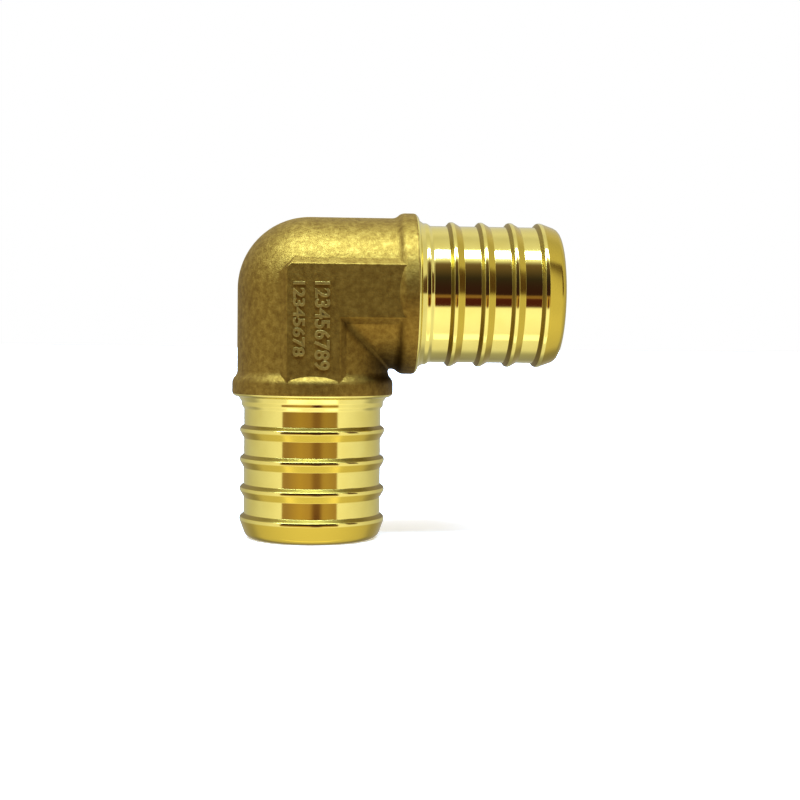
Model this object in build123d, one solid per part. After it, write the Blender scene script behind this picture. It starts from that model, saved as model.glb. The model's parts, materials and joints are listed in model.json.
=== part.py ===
from build123d import *
from math import radians, tan
import os

# 90 degree crimp elbow for 1 inch PEX pipe: one brass forging with two machined barbed spigots.
# Millimetres. The lower leg stands on +Z with the centre of its mouth at the origin, and the
# other leg runs along +X. "Station" means the distance along a leg from the corner, which is
# the point where the two axes meet.

# Forged body
body_diameter = 23.8
corner_shift = 0.5          # how much smaller the outer corner's arc is than the body's radius
crease_radius = 0.6         # hollow along the inside crease, where the legs meet
neck_length = 0.95          # from the inside corner to the slope up to the collar

# Collar that the pipe stops against
collar_height = 0.8         # above the body
collar_width = 2.65         # from its machined face to the top of the slope behind it
collar_slope = 0.9          # length of the slope down to the body
collar_slope_radius = 1.0
collar_edge_radius = 0.8
collar_land = 0.15          # flat left on the face between the rounded edge and the foot

# Flat L-shaped pad on the front and the back
pad_width = 8.1
pad_rise = 0.1              # how far its face stands above the body's crest
pad_depth = 3.0             # how far its sides go down into the body
pad_draft = 38.0            # degrees
pad_edge_radius = 0.3

# Barbs: steep towards the collar, gentle towards the mouth
barb_diameter = 22.9
barb_height = 0.65          # from the roots to the crests
barb_count = 4
barb_pitch = 4.65
first_barb = 5.2            # from the collar's face to the middle of the first crest
crest_width = 0.5
steep_length = 0.75
gentle_length = 1.1

# Foot of the spigot: a slope down from the collar's face to a low shoulder
foot_length = 0.8
shoulder_height = 0.4       # above the roots
shoulder_length = 0.55
shoulder_slope = 0.55

# Nose: the last barb slopes on to a rounded end
nose_length = 2.925         # from the last crest to the mouth
nose_slope = 20.0           # degrees
nose_rounding = 0.77        # share of the end face that the rounding takes

# Mouth
bore_diameter = 17.8
mouth_chamfer = 0.2

body_radius = body_diameter / 2
collar_radius = body_radius + collar_height
collar_back = body_radius + neck_length + collar_slope
collar_station = collar_back + collar_width
foot_radius = collar_radius - collar_edge_radius - collar_land
barb_radius = barb_diameter / 2
root_radius = barb_radius - barb_height
shoulder_radius = root_radius + shoulder_height
bore_radius = bore_diameter / 2

barb_stations = [collar_station + first_barb + i * barb_pitch for i in range(barb_count)]
nose_station = barb_stations[-1] + crest_width / 2
leg_length = nose_station + nose_length
nose_tip = barb_radius - nose_length * tan(radians(nose_slope))
mouth_radius = bore_radius + mouth_chamfer
nose_radius = nose_rounding * (nose_tip - mouth_radius) / tan(radians(90 - nose_slope) / 2)


def collar_line():
    """Body, slope and collar, as (station, radius)."""
    return FilletPolyline(
        (-corner_shift, body_radius),
        (collar_back - collar_slope, body_radius),
        (collar_back, collar_radius),
        (collar_station, collar_radius),
        (collar_station, foot_radius),
        radius=[collar_slope_radius, collar_slope_radius, collar_edge_radius],
    )


def spigot_line():
    """Foot, shoulder and barbs, as (station, radius)."""
    shoulder_station = collar_station + foot_length
    shoulder_end = shoulder_station + shoulder_length
    points = [
        (collar_station, foot_radius),
        (shoulder_station, shoulder_radius),
        (shoulder_end, shoulder_radius),
        (shoulder_end + shoulder_slope, root_radius),
    ]
    for station in barb_stations:
        points += [
            (station - crest_width / 2 - steep_length, root_radius),
            (station - crest_width / 2, barb_radius),
            (station + crest_width / 2, barb_radius),
            (station + crest_width / 2 + gentle_length, root_radius),
        ]
    return Polyline(*points[:-1])  # the last barb runs on into the nose


def nose_line():
    """Slope, rounding and end face down to the axis, as (station, radius)."""
    return FilletPolyline(
        (nose_station, barb_radius), (leg_length, nose_tip), (leg_length, 0), radius=nose_radius
    )


def leg():
    """One solid leg along +X with the corner at the origin, still without its waterway."""
    closing_line = Polyline((leg_length, 0), (-corner_shift, 0), (-corner_shift, body_radius))
    profile = make_face(collar_line() + spigot_line() + nose_line() + closing_line)
    return revolve(profile, axis=Axis.X)


def rounded_corner(radius, shift):
    """Outer quarter between two legs of this radius: an arc of radius - shift, seen from the front."""
    section = Plane.YZ.offset(-shift) * (
        Circle(radius) - Pos(0, shift - radius) * Rectangle(2 * radius, 2 * radius)
    )
    return revolve(section, axis=Axis((-shift, 0, shift), (0, -1, 0)), revolution_arc=90)


def waterway():
    """The two drilled bores, their rounded meeting and the broken edges of the mouths."""
    profile = make_face(
        Polyline(
            (0, 0),
            (leg_length, 0),
            (leg_length, mouth_radius),
            (leg_length - mouth_chamfer, bore_radius),
            (0, bore_radius),
            close=True,
        )
    )
    bore = revolve(profile, axis=Axis.X)
    return bore + Rot(0, 90, 0) * bore + rounded_corner(bore_radius, 0)


def pad():
    """Flat L-shaped pad on the front, which runs into both collars."""
    half = pad_width / 2
    end = (collar_back + collar_station) / 2
    outline = Polyline(
        (-half, half), (end, half), (end, -half), (half, -half), (half, -end), (-half, -end),
        close=True,
    )
    face_plane = Plane.XZ.offset(body_radius + pad_rise)
    block = extrude(face_plane * make_face(outline), amount=-pad_depth, taper=-pad_draft)
    front = block.faces().sort_by(Axis.Y)[0]
    return fillet(front.edges(), pad_edge_radius)


def elbow():
    body = leg() + Rot(0, 90, 0) * leg() + rounded_corner(body_radius, corner_shift)
    crease = body.edges().filter_by(GeomType.ELLIPSE)
    front_pad = pad()
    solid = fillet(crease, crease_radius) + [front_pad, mirror(front_pad, about=Plane.XZ)]
    return Pos(0, 0, leg_length) * (solid - waterway())


os.makedirs("parts", exist_ok=True)
export_step(elbow(), "parts/elbow.step")
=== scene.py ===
import json
import math

import bmesh
import bpy
from mathutils import Matrix, Vector


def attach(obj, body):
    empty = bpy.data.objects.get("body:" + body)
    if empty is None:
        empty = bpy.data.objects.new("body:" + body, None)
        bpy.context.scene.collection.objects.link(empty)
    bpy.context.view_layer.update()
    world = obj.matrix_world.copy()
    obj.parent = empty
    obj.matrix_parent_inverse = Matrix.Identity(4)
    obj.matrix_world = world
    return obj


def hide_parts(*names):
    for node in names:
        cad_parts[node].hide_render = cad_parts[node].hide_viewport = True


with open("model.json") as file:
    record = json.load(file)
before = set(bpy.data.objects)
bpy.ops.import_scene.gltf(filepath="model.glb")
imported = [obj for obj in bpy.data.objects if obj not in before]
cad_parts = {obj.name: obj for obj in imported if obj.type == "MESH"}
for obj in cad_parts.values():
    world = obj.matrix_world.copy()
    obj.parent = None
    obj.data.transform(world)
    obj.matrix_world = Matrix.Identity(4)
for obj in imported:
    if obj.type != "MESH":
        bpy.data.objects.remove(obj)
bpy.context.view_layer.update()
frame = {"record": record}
mounts = {m["name"]: m for m in frame["record"]["mounts"]}
corner = Vector((0, 0, mounts["side_bore"]["pos_m"][2]))  # where the two legs' axes meet
mm = 0.001
print("frame loaded, corner at", tuple(corner))


# shader maths: a wrapped socket adds a Math node for each operator
class Wire:
    def __init__(self, graph, socket):
        self.graph = graph
        self.socket = socket

    def __add__(self, other):
        return self.graph.maths("ADD", self, other)

    def __sub__(self, other):
        return self.graph.maths("SUBTRACT", self, other)

    def __rsub__(self, other):
        return self.graph.maths("SUBTRACT", other, self)

    def __mul__(self, other):
        return self.graph.maths("MULTIPLY", self, other)

    def __truediv__(self, other):
        return self.graph.maths("DIVIDE", self, other)

    def __rtruediv__(self, other):
        return self.graph.maths("DIVIDE", other, self)

    def __neg__(self):
        return self.graph.maths("MULTIPLY", self, -1)

    __radd__ = __add__
    __rmul__ = __mul__


class Graph:
    def __init__(self, tree):
        self.tree = tree
        tree.nodes.clear()

    # any node: its settings first, then the values or links of its sockets
    def node(self, kind, settings=None, inputs=None, output=0):
        made = self.tree.nodes.new(kind)
        for name, value in (settings or {}).items():
            if name == "stops":
                self.setStops(made.color_ramp, value)
            else:
                setattr(made, name, value)
        for name, value in (inputs or {}).items():
            if isinstance(value, Wire):
                self.tree.links.new(value.socket, made.inputs[name])
            else:
                made.inputs[name].default_value = value
        return Wire(self, made.outputs[output]) if made.outputs else None

    def setStops(self, ramp, stops):
        while len(ramp.elements) < len(stops):
            ramp.elements.new(1)
        for element, (place, tone) in zip(ramp.elements, stops):
            element.position = place
            element.color = (*tone, 1)

    def maths(self, operation, first, second=0.0):
        return self.node("ShaderNodeMath", {"operation": operation}, {0: first, 1: second})

    def ramp(self, factor, stops):
        return self.node("ShaderNodeValToRGB", {"stops": stops}, {0: factor})

    # rises smoothly from 0 to 1 over a width around an edge
    def step(self, value, edge, width):
        return self.node(
            "ShaderNodeMapRange",
            {"interpolation_type": "SMOOTHSTEP"},
            {"Value": value, "From Min": edge - width / 2, "From Max": edge + width / 2},
        )

    # 1 between two edges
    def band(self, value, low, high, width):
        return self.step(value, low, width) * (1 - self.step(value, high, width))

    def mix(self, factor, first, second, blend="MIX"):
        settings = {"data_type": "RGBA", "blend_type": blend}
        return self.node("ShaderNodeMix", settings, {0: factor, 6: first, 7: second}, output=2)

    # the three coordinates of a vector
    def split(self, vector):
        return [self.node("ShaderNodeSeparateXYZ", inputs={0: vector}, output=i) for i in range(3)]


def colour(red, green, blue):
    return (red, green, blue, 1)


# camera: level with the fitting's middle, a little above it and to its left
camera = {
    "place": (-0.00128, -0.22205, 0.03110),
    "pitch": 2.41,
    "yaw": 3.91,
    "roll": 0.44,
    "lens": 62.9,
    "sensor": 36,
    "nearest": 0.01,
    "farthest": 50,
}


def makeCamera(sizes):
    data = bpy.data.cameras.new("camera")
    data.lens = sizes["lens"]
    data.sensor_width = sizes["sensor"]
    data.clip_start = sizes["nearest"]
    data.clip_end = sizes["farthest"]
    made = bpy.data.objects.new("camera", data)
    bpy.context.scene.collection.objects.link(made)
    right, forward, up = (
        Matrix.Rotation(math.radians(sizes["yaw"]), 3, "Z")
        @ Matrix.Rotation(math.radians(sizes["roll"]), 3, "Y")
        @ Matrix.Rotation(math.radians(sizes["pitch"]), 3, "X")
    )
    turn = Matrix((right, up, -forward)).transposed().to_4x4()
    made.matrix_world = Matrix.Translation(sizes["place"]) @ turn
    bpy.context.scene.camera = made


makeCamera(camera)
print("camera made")

# studio: a white tent, lightest on the camera's side, with a dark opening there and a strip light
# over it. Places on the camera's side are shares of the distance towards it: a card's are its left,
# right, low and high edges, and its soft widths are those of its sides, of its low and its high edge.
studio = {
    "tent": 0.92,
    "tentFalloff": 0.35,        # how much darker the tent is straight behind
    "lowPart": (-0.45, 0.4),    # where the tent's low part begins, and over what width
    "back": (0.40, 0.3),
    "highPart": (0.3, 0.3),
    "lowBehind": 0.22,          # how much darker it is below behind
    "highBehind": 0.20,         # how much lighter over the back
    "lowFront": 0.17,           # and under the front
    "strip": (-2.4, 1.4, 1.95, 4.3),
    "stripSoft": (0.2, 0.3, 0.3),
    "stripGlow": (15, 21, 32),
    "lowStrip": (-2.5, 2.5, -8.0, -3.0),        # a weaker one under the front
    "lowStripSoft": (0.4, 0.5, 0.5),
    "lowStripGlow": (1.8, 1.8, 1.8),
    "flag": (1.65, 4.4, 0.02, 2.2),             # a dark card to the right of the opening
    "flagSoft": (0.5, 0.15, 0.15),
    "flagTone": (0.17, 0.10, 0.06),
    "opening": (-1.24, 0.90, -0.40, 1.40),
    "openingSoft": (0.1, 0.1, 0.5),
    "openingFade": (0.6, 1.2),                  # over this the tones follow each other upwards
    "openingTones": [(0.0, (0.07, 0.03, 0.03)), (0.35, (0.07, 0.055, 0.045)), (1.0, (0.24, 0.17, 0.11))],
    "tableHigh": (-0.035, 0.03),                # a table fills the low part of the opening
    "tableTones": [                             # from left to right
        (0.16, (0.51, 0.35, 0.195)), (0.41, (0.71, 0.50, 0.195)), (0.63, (0.60, 0.40, 0.185)),
        (0.78, (0.647, 0.464, 0.195)), (0.95, (0.56, 0.39, 0.187)),
    ],
    "tableFade": (-0.09, 0.14),                 # over this the table loses some of its light upwards
    "tableLeft": 0.82,                          # what is left of it
    "stand": (0.0, 0.26, 0.18),                 # a narrow thing that stands in it: sides, soft width
    "standFade": (-0.125, 0.03),
    "standLoss": 0.65,                          # how much fainter it is over that
    "standTone": (0.13, 0.03, 0.025),
}


# 1 on a card, 0 round it
def card(graph, across, rise, edges, soft):
    left, right, low, high = edges
    sides, bottom, top = soft
    tall = graph.step(rise, low, bottom) * (1 - graph.step(rise, high, top))
    return graph.band(across, left, right, sides) * tall


def makeWorld(sizes):
    world = bpy.data.worlds.new("studio")
    bpy.context.scene.world = world
    world.use_nodes = True
    graph = Graph(world.node_tree)
    x, y, z = graph.split(graph.node("ShaderNodeTexCoord", output="Generated"))
    ahead = graph.maths("MAXIMUM", -y, 0.001)
    across, rise = x / ahead, z / ahead

    below = 1 - graph.step(z, *sizes["lowPart"])
    behind = graph.step(y, *sizes["back"])
    tent = sizes["tent"] - y * sizes["tentFalloff"]
    tent = tent + below * (1 - behind) * sizes["lowFront"] - below * behind * sizes["lowBehind"]
    tent = tent + graph.step(z, *sizes["highPart"]) * behind * sizes["highBehind"]
    lit = graph.node("ShaderNodeCombineXYZ", inputs={0: tent, 1: tent, 2: tent})
    for name, tone in (("strip", "stripGlow"), ("lowStrip", "lowStripGlow"), ("flag", "flagTone")):
        there = card(graph, across, rise, sizes[name], sizes[name + "Soft"])
        lit = graph.mix(there, lit, colour(*sizes[tone]))

    left, right, low, high = sizes["opening"]
    table = graph.ramp((across - left) / (right - left), sizes["tableTones"])
    share = sizes["tableLeft"]
    dim = graph.mix(1.0, table, colour(share, share, share), "MULTIPLY")
    table = graph.mix(graph.step(rise, *sizes["tableFade"]), table, dim)
    faint = graph.step(rise, *sizes["standFade"]) * sizes["standLoss"]
    stand = graph.band(across, *sizes["stand"]) * (1 - faint)
    table = graph.mix(stand, table, colour(*sizes["standTone"]))
    dark = graph.ramp(graph.step(rise, *sizes["openingFade"]), sizes["openingTones"])
    dark = graph.mix(graph.step(rise, *sizes["tableHigh"]), table, dark)
    seen = graph.mix(card(graph, across, rise, sizes["opening"], sizes["openingSoft"]), lit, dark)

    straight = graph.node("ShaderNodeLightPath", output="Is Camera Ray")
    plain = graph.mix(straight, seen, colour(1, 1, 1))
    light = graph.node("ShaderNodeBackground", inputs={"Color": plain, "Strength": 1.0})
    graph.node("ShaderNodeOutputWorld", inputs={"Surface": light})


makeWorld(studio)

# floor: a plain pale sheet
floor = {"halfWidth": 6.0, "tone": 0.92, "glow": 0.35}


def makeFloor(sizes):
    bm = bmesh.new()
    bmesh.ops.create_grid(bm, x_segments=1, y_segments=1, size=sizes["halfWidth"])
    mesh = bpy.data.meshes.new("floor")
    bm.to_mesh(mesh)
    bm.free()
    made = bpy.data.objects.new("floor", mesh)
    bpy.context.scene.collection.objects.link(made)
    made.visible_glossy = False
    paint = bpy.data.materials.new("paleFloor")
    paint.use_nodes = True
    graph = Graph(paint.node_tree)
    surface = graph.node(
        "ShaderNodeBsdfPrincipled",
        inputs={
            "Base Color": colour(sizes["tone"], sizes["tone"], sizes["tone"]),
            "Roughness": 0.9,
            "Specular IOR Level": 0.0,
            "Emission Color": colour(1, 1, 1),
            "Emission Strength": sizes["glow"],
        },
    )
    graph.node("ShaderNodeOutputMaterial", inputs={"Surface": surface})
    mesh.materials.append(paint)


makeFloor(floor)
print("studio made")


# a surface of bare metal from what varies over it
def metal(graph, tone, roughness, bump):
    surface = graph.node(
        "ShaderNodeBsdfPrincipled",
        inputs={"Base Color": tone, "Metallic": 1.0, "Roughness": roughness, "Normal": bump},
    )
    graph.node("ShaderNodeOutputMaterial", inputs={"Surface": surface})


def newPaint(name):
    paint = bpy.data.materials.new(name)
    paint.use_nodes = True
    return paint, Graph(paint.node_tree)


# forged brass: as it leaves the die, blasted, then dulled by the air
forged = {
    "tones": [(0.34, (0.265, 0.162, 0.032)), (0.50, (0.34, 0.222, 0.046)), (0.66, (0.42, 0.285, 0.066))],
    "cloud": 1100,
    "roughness": 0.54,
    "roughnessSpread": 0.2,
    "grain": 3600,
    "grainDepth": 0.06 * mm,
    "creaseDirt": (0.8 * mm, 1.6 * mm),    # painted shade in the inside crease: half its width along the crease, and its soft edge
    "creaseFrom": (4.5 * mm, 2.0 * mm),    # where it begins, from the corner
    "innerCorner": 11.9 * mm,              # the end of the crease, from both legs' axes
    "innerDirt": (3.5 * mm, 5.0 * mm),     # the painted shade's radius round that, and its soft edge
    "shade": 0.5,                          # what is left of the tone under the painted shade
}


# the raised numbers, a little brighter and smoother: painted highlight
paintedHighlightNumbers = dict(forged, tones=[(0.34, (0.48, 0.37, 0.11)), (0.66, (0.62, 0.49, 0.16))], roughness=0.45)


def forgedBrass(name, sizes):
    paint, graph = newPaint(name)
    place = graph.node("ShaderNodeTexCoord", output="Object")
    cloud = graph.node(
        "ShaderNodeTexNoise",
        inputs={"Vector": place, "Scale": sizes["cloud"], "Detail": 6.0, "Roughness": 0.65},
    )
    grain = graph.node(
        "ShaderNodeTexNoise",
        inputs={"Vector": place, "Scale": sizes["grain"], "Detail": 3.0, "Roughness": 0.6},
    )
    x, y, z = graph.split(place)
    up = z - corner.z
    # painted shade: the tone is darkened along the inside crease and round the inner corner, where shade
    # falls
    crease = 1 - graph.step(graph.maths("ABSOLUTE", x + up), *sizes["creaseDirt"])
    crease = crease * graph.step(x, *sizes["creaseFrom"])
    right, down = x - sizes["innerCorner"], up + sizes["innerCorner"]
    inner = graph.maths("SQRT", right * right + down * down)
    paintedShade = graph.maths("MAXIMUM", crease, 1 - graph.step(inner, *sizes["innerDirt"]))
    tone = graph.ramp(cloud, sizes["tones"])
    shade = sizes["shade"]
    tone = graph.mix(paintedShade, tone, graph.mix(1.0, tone, colour(shade, shade, shade), "MULTIPLY"))
    spread = sizes["roughnessSpread"]
    bump = graph.node(
        "ShaderNodeBump", inputs={"Strength": 1.0, "Distance": sizes["grainDepth"], "Height": grain}
    )
    metal(graph, tone, grain * spread + (sizes["roughness"] - spread / 2), bump)
    return paint


# where a point lies on its leg: its distance along the axis from the corner, and from the axis
def alongLeg(graph):
    place = graph.node("ShaderNodeTexCoord", output="Object")
    x, y, z = graph.split(place)
    up = z - corner.z
    side = graph.maths("GREATER_THAN", x + up, 0.0)
    along = graph.maths("MAXIMUM", x, -up)
    off = side * up + (1 - side) * x
    return along, graph.maths("SQRT", y * y + off * off)


# turned brass: bright from the lathe, with the fine rings of the tool
turned = {
    "tones": [(0.30, (0.80, 0.69, 0.225)), (0.70, (0.84, 0.74, 0.26))],
    "cloud": 300,
    "roughness": 0.09,
    "roughnessSpread": 0.06,
    "rings": 9000,
    "ringDepth": 0.0003 * mm,
    "flank": (0.61, 0.47, 0.085),    # the barbs' long sides and the nose, cut with the form tool's edge: their darker tone is painted shade
    "flankRoughness": 0.17,
    "flankEdge": 0.2 * mm,
    "cut": (0.35, 0.255, 0.055),     # the barbs' steep sides: their darker tone is painted shade, and the parting cut leaves them rougher
    "cutRoughness": 0.36,
    "cutEdge": 0.1 * mm,
}


def turnedBrass(sizes):
    paint, graph = newPaint("turnedBrass")
    along, radius = alongLeg(graph)
    rings = graph.node(
        "ShaderNodeTexNoise",
        {"noise_dimensions": "1D"},
        {"W": (along + radius * 0.7) * sizes["rings"], "Scale": 1.0, "Detail": 3.0},
    )
    place = graph.node("ShaderNodeTexCoord", output="Object")
    cloud = graph.node("ShaderNodeTexNoise", inputs={"Vector": place, "Scale": sizes["cloud"], "Detail": 4.0})
    bump = graph.node(
        "ShaderNodeBump", inputs={"Strength": 1.0, "Distance": sizes["ringDepth"], "Height": rings}
    )
    # how far past the middle of the nearest crest, towards the mouth
    first, pitch = elbow["firstBarb"] * mm, elbow["barbPitch"] * mm
    past = graph.maths("FLOORED_MODULO", along - (first - pitch / 2), pitch) - pitch / 2
    crest = elbow["crest"] * mm
    last = first + (elbow["barbs"] - 1) * pitch
    barbed = graph.step(along, first - pitch / 2, sizes["cutEdge"])
    cut = barbed * graph.band(past, -crest - elbow["steep"] * mm, -crest, sizes["cutEdge"])
    flank = barbed * graph.band(past, crest * 1.1, crest + elbow["gentle"] * mm, sizes["flankEdge"])
    flank = graph.maths("MAXIMUM", flank, graph.step(along, last + crest * 1.1, sizes["flankEdge"]))
    # painted shade: the barbs' long sides and the nose get a darker tone
    tone = graph.mix(flank, graph.ramp(cloud, sizes["tones"]), colour(*sizes["flank"]))
    # painted shade: the barbs' steep sides get a darker tone
    tone = graph.mix(cut, tone, colour(*sizes["cut"]))
    plain, spread = sizes["roughness"], sizes["roughnessSpread"]
    rough = cloud * spread + (plain - spread / 2)
    rough = rough + flank * (sizes["flankRoughness"] - plain) + cut * (sizes["cutRoughness"] - plain)
    metal(graph, tone, rough, bump)
    return paint


# drilled brass: the bores, duller than the turned outside, with the marks of the drill
drilled = {
    "tones": [(0.30, (0.66, 0.50, 0.17)), (0.70, (0.76, 0.61, 0.22))],
    "roughness": 0.26,
    "roughnessSpread": 0.12,
    "rings": 2600,
    "ringDepth": 0.004 * mm,
}


def drilledBrass(sizes):
    paint, graph = newPaint("drilledBrass")
    along = alongLeg(graph)[0]
    rings = graph.node(
        "ShaderNodeTexNoise",
        {"noise_dimensions": "1D"},
        {"W": along * sizes["rings"], "Scale": 1.0, "Detail": 4.0},
    )
    bump = graph.node(
        "ShaderNodeBump", inputs={"Strength": 1.0, "Distance": sizes["ringDepth"], "Height": rings}
    )
    spread = sizes["roughnessSpread"]
    metal(graph, graph.ramp(rings, sizes["tones"]), rings * spread + (sizes["roughness"] - spread / 2), bump)
    return paint


# the fitting's body, in millimetres: distances along a leg are from the corner
elbow = {
    "bodyRadius": 11.9,
    "cornerShift": 0.5,        # the outer corner's arc is this much smaller than the body's radius
    "creaseRound": 0.4,
    "collar": [(12.85, 11.9, 0.5), (13.75, 12.7, 0.5), (16.4, 12.7, 0.8)],
    "foot": [(16.4, 11.75, 0.08), (17.2, 11.2, 0.15), (17.75, 11.2, 0.15), (18.3, 10.8, 0.15)],
    "firstBarb": 21.6,
    "barbPitch": 4.65,
    "barbs": 4,
    "root": 10.8,
    "crest": 0.25,             # half of a crest's width
    "steep": 0.55,
    "gentle": 1.1,
    "crestRound": (0.22, 0.12),  # on the steep side and on the gentle side
    "rootRound": 0.04,
    "noseTip": (10.385, 0.98),  # radius at the mouth before it is rounded, and its rounding
    "mouthChamfer": 0.2,
    "turnedFrom": 16.0,
    "padHalf": 4.05,
    "padEnd": 15.075,
    "padFace": 12.0,
    "padDepth": 3.0,
    "padDraft": 38,
    "padEdge": 0.16,
    "padCorner": (0.3, 14),    # how far its outer corner is cut back, and the cut's draft
    "segments": 128,
    "smoothAngle": 28,
}


# one leg's outline from the corner to the mouth and back along its bore: (along, radius, rounding)
def legOutline(sizes):
    length = corner.z / mm
    bore = mounts["side_bore"]["dims"]["r_mm"]
    crestRadius = mounts["side_spigot"]["dims"]["r_mm"]
    outline = [(-sizes["cornerShift"], sizes["bodyRadius"], 0)] + sizes["collar"] + sizes["foot"]
    for i in range(sizes["barbs"]):
        middle = sizes["firstBarb"] + i * sizes["barbPitch"]
        before, after = middle - sizes["crest"], middle + sizes["crest"]
        outline += [
            (before - sizes["steep"], sizes["root"], sizes["rootRound"]),
            (before, crestRadius, sizes["crestRound"][0]),
            (after, crestRadius, sizes["crestRound"][1]),
            (after + sizes["gentle"], sizes["root"], sizes["rootRound"]),
        ]
    outline.pop()  # the last barb runs on into the nose
    noseRadius, noseRound = sizes["noseTip"]
    chamfer = sizes["mouthChamfer"]
    outline += [
        (length, noseRadius, noseRound),
        (length, bore + chamfer, 0.04),
        (length - chamfer, bore, 0.04),
        (0, bore, 0),
    ]
    return outline


# one leg along +X with its half of the corner, up to the plane where it meets the other leg
def makeHalf(sizes):
    bm = bmesh.new()
    outline = legOutline(sizes)
    verts = [bm.verts.new((along, 0, radius)) for along, radius, rounding in outline]
    for first, second in zip(verts, verts[1:]):
        bm.edges.new((first, second))
    for vert, (along, radius, rounding) in zip(verts, outline):
        if rounding:
            bmesh.ops.bevel(
                bm, geom=[vert], offset=rounding, offset_type="OFFSET", segments=4,
                profile=0.5, affect="VERTICES", clamp_overlap=True, material=-1,
            )
    bmesh.ops.spin(
        bm, geom=bm.verts[:] + bm.edges[:], cent=(0, 0, 0), axis=(1, 0, 0),
        angle=math.tau, steps=sizes["segments"], use_merge=True,
    )
    bmesh.ops.bisect_plane(
        bm, geom=bm.verts[:] + bm.edges[:] + bm.faces[:], dist=1e-5,
        plane_co=(0, 0, 0), plane_no=(1, 0, 1), clear_inner=True,
    )
    # the rounded outside of the corner, then its rounded inside
    for shift in (sizes["cornerShift"], 0):
        arc = [
            e for e in bm.edges
            if e.is_boundary and all(abs(v.co.x + shift) < 1e-4 and v.co.z > shift - 1e-4 for v in e.verts)
        ]
        bmesh.ops.spin(
            bm, geom=arc, cent=(-shift, 0, shift), axis=(0, -1, 0),
            angle=math.radians(45), steps=16,
        )
    bmesh.ops.remove_doubles(bm, verts=bm.verts, dist=1e-3)
    return bm


# both legs, closed along the plane where they meet, with a small hollow in the inside crease
def makeLegs(sizes):
    bm = makeHalf(sizes)
    second = bmesh.ops.duplicate(bm, geom=bm.verts[:] + bm.edges[:] + bm.faces[:])["geom"]
    bmesh.ops.transform(
        bm, verts=[part for part in second if isinstance(part, bmesh.types.BMVert)],
        matrix=Matrix.Scale(-1, 4, Vector((1, 0, 1)).normalized()),
    )
    bmesh.ops.remove_doubles(bm, verts=bm.verts, dist=1e-3)
    bmesh.ops.recalc_face_normals(bm, faces=bm.faces)
    crease = [
        e for e in bm.edges
        if e.is_manifold
        and all(abs(v.co.x + v.co.z) < 1e-3 and v.co.x > 1 and v.co.yz.length > 10 for v in e.verts)
        and e.calc_face_angle() > math.radians(12)
    ]
    bmesh.ops.bevel(
        bm, geom=crease, offset=sizes["creaseRound"], offset_type="OFFSET", segments=4,
        profile=0.5, affect="EDGES", clamp_overlap=True, material=-1,
    )
    openEdges = sum(e.is_boundary for e in bm.edges)
    print("legs made,", len(crease), "crease edges hollowed,", openEdges, "open edges")
    return bm


# the flat L on the front and on the back: a wide foot inside the body, drawn in to the flat face
def makePads(sizes):
    spread = sizes["padDepth"] * math.tan(math.radians(sizes["padDraft"]))
    half = sizes["padHalf"] + spread
    end = sizes["padEnd"] + spread
    foot = sizes["padDepth"] - sizes["padFace"]
    bm = bmesh.new()
    outline = [(-half, half), (-half, -end), (half, -end), (half, -half), (end, -half), (end, half)]
    face = bm.faces.new([bm.verts.new((x, foot, z)) for x, z in outline])
    face.normal_update()
    if face.normal.y > 0:
        bmesh.ops.reverse_faces(bm, faces=[face])
    bmesh.ops.inset_region(
        bm, faces=[face], thickness=spread, depth=sizes["padDepth"], use_even_offset=True, use_boundary=True
    )
    bmesh.ops.holes_fill(bm, edges=[e for e in bm.edges if e.is_boundary])
    # over the outer corner the body falls away, so the pad is cut there along a steep plane
    back, draft = sizes["padCorner"]
    tip = sizes["padHalf"] - back
    lean = math.radians(draft)
    bmesh.ops.bisect_plane(
        bm, geom=bm.verts[:] + bm.edges[:] + bm.faces[:], plane_co=(-tip, -sizes["padFace"], tip),
        plane_no=Vector((-math.cos(lean), -math.sin(lean) * math.sqrt(2), math.cos(lean))).normalized(),
        clear_outer=True,
    )
    bmesh.ops.holes_fill(bm, edges=[e for e in bm.edges if e.is_boundary])
    face = min(bm.faces, key=lambda f: f.calc_center_median().y)
    bmesh.ops.bevel(
        bm, geom=face.edges[:], offset=sizes["padEdge"], offset_type="OFFSET", segments=3,
        profile=0.5, affect="EDGES", clamp_overlap=True, material=-1,
    )
    bmesh.ops.mirror(
        bm, geom=bm.verts[:] + bm.edges[:] + bm.faces[:], axis="Y", matrix=Matrix.Identity(4), merge_dist=1e-4
    )
    bmesh.ops.recalc_face_normals(bm, faces=bm.faces)
    return bm


def newObject(name, bm):
    bmesh.ops.transform(bm, matrix=Matrix.Translation(corner) @ Matrix.Scale(mm, 4), verts=bm.verts)
    mesh = bpy.data.meshes.new(name)
    bm.to_mesh(mesh)
    bm.free()
    made = bpy.data.objects.new(name, mesh)
    bpy.context.scene.collection.objects.link(made)
    return made


# takes a piece's modifiers into its mesh
def settle(piece):
    seen = piece.evaluated_get(bpy.context.evaluated_depsgraph_get())
    mesh = bpy.data.meshes.new_from_object(seen)
    piece.modifiers.clear()
    piece.data = mesh
    return mesh


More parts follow.
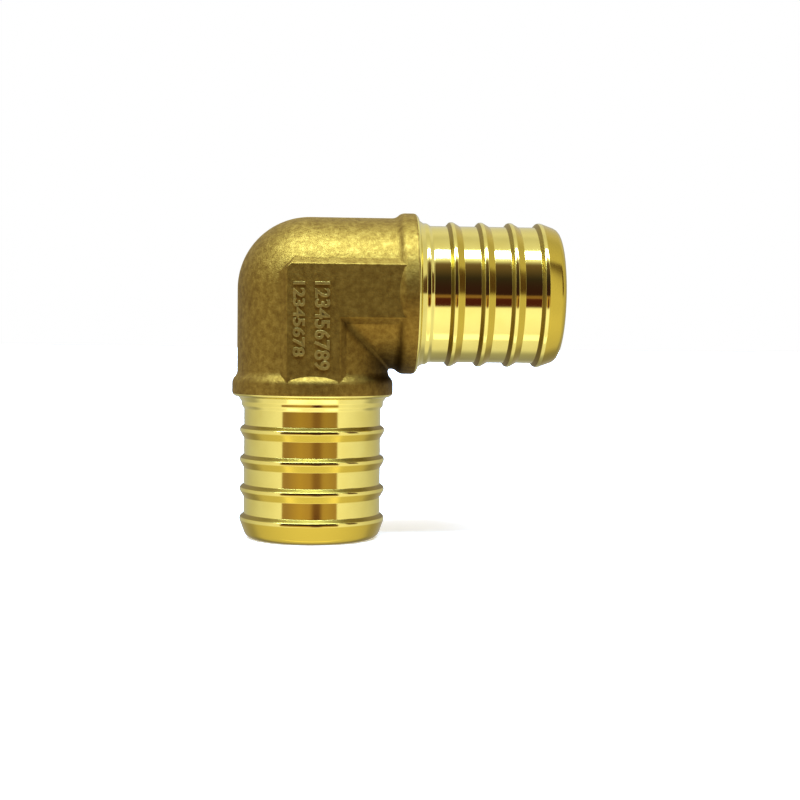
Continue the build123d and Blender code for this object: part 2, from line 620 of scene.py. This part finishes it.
def makeElbow(sizes):
    forging = newObject("forging", makeLegs(sizes))
    pads = newObject("pads", makePads(sizes))
    join = forging.modifiers.new("pads", "BOOLEAN")
    join.operation = "UNION"
    join.solver = "EXACT"
    join.object = pads
    mesh = settle(forging)
    bpy.data.objects.remove(pads)
    bm = bmesh.new()
    bm.from_mesh(mesh)
    bmesh.ops.remove_doubles(bm, verts=bm.verts, dist=2e-6)
    boreRadius = mounts["side_bore"]["dims"]["r_mm"] * mm
    for face in bm.faces:
        face.smooth = True
        centre = face.calc_center_median() - corner
        along = max(centre.x, -centre.z)
        off = math.hypot(centre.y, centre.z if centre.x > -centre.z else centre.x)
        inside = (off if along > 0 else centre.length) < boreRadius + 2e-5
        face.material_index = 2 if inside else 1 if along > sizes["turnedFrom"] * mm else 0
    for edge in bm.edges:
        edge.smooth = edge.calc_face_angle(0) < math.radians(sizes["smoothAngle"])
    loose = sum(not e.is_manifold for e in bm.edges)
    bm.to_mesh(mesh)
    bm.free()
    for paint in (forgedBrass("forgedBrass", forged), turnedBrass(turned), drilledBrass(drilled)):
        mesh.materials.append(paint)
    weight = forging.modifiers.new("weight", "WEIGHTED_NORMAL")
    weight.mode = "FACE_AREA_WITH_ANGLE"
    weight.keep_sharp = True
    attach(forging, "root")
    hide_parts("elbow")
    print("forging made,", len(mesh.polygons), "faces,", loose, "edges not closed")


makeElbow(elbow)

# raised numbers on the front pad, in two rows that read downwards
digits = {
    "rows": [("12345678", 1.9, -2.2, 1.3, 11.3), ("123456789", 2.4, 1.3, 1.3, 13.3)],
    "raise": 0.22,             # above the pad's face
    "sink": 0.10,              # into it
    "swell": 0.09,             # makes the strokes fatter
    "edge": 0.04,
}


# one row: its figures, their height, where its middle lies across the pad, its start and its length
def makeRow(figures, height, across, start, length, sizes):
    text = bpy.data.curves.new("row", "FONT")
    text.body = figures
    text.size = height / 0.7
    text.extrude = (sizes["raise"] + sizes["sink"]) / 2 - sizes["edge"]
    text.bevel_depth = sizes["edge"]
    text.bevel_resolution = 1
    text.offset = sizes["swell"] - sizes["edge"]
    text.resolution_u = 4
    written = bpy.data.objects.new("row", text)
    bpy.context.scene.collection.objects.link(written)
    bpy.context.view_layer.update()
    seen = written.evaluated_get(bpy.context.evaluated_depsgraph_get())
    mesh = bpy.data.meshes.new_from_object(seen)
    bpy.data.objects.remove(written)
    bm = bmesh.new()
    bm.from_mesh(mesh)
    bmesh.ops.remove_doubles(bm, verts=bm.verts, dist=1e-4)
    low = [min(v.co[i] for v in bm.verts) for i in range(3)]
    high = [max(v.co[i] for v in bm.verts) for i in range(3)]
    middle = Vector([(low[i] + high[i]) / 2 for i in range(3)])
    bmesh.ops.translate(bm, vec=-middle, verts=bm.verts)
    bmesh.ops.scale(bm, vec=(length / (high[0] - low[0]), height / (high[1] - low[1]), 1), verts=bm.verts)
    face = elbow["padFace"] + (sizes["raise"] - sizes["sink"]) / 2
    turn = Matrix.Rotation(math.radians(90), 4, "Y") @ Matrix.Rotation(math.radians(90), 4, "X")
    place = Matrix.Translation((across, -face, start - length / 2))
    bmesh.ops.transform(bm, matrix=place @ turn, verts=bm.verts)
    return bm


def makeDigits(sizes):
    whole = bmesh.new()
    for row in sizes["rows"]:
        bm = makeRow(*row, sizes)
        part = bpy.data.meshes.new("part")
        bm.to_mesh(part)
        bm.free()
        whole.from_mesh(part)
    bmesh.ops.recalc_face_normals(whole, faces=whole.faces)
    made = newObject("raised_numbers", whole)
    for polygon in made.data.polygons:
        polygon.use_smooth = False
    # painted highlight: the numbers get a lighter copy of the forged tones
    made.data.materials.append(forgedBrass("rubbedBrass", paintedHighlightNumbers))
    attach(made, "root")
    print("raised numbers made,", len(made.data.polygons), "faces")


makeDigits(digits)

bpy.context.scene.view_settings.view_transform = "Standard"
bpy.context.scene.view_settings.gamma = 0.8
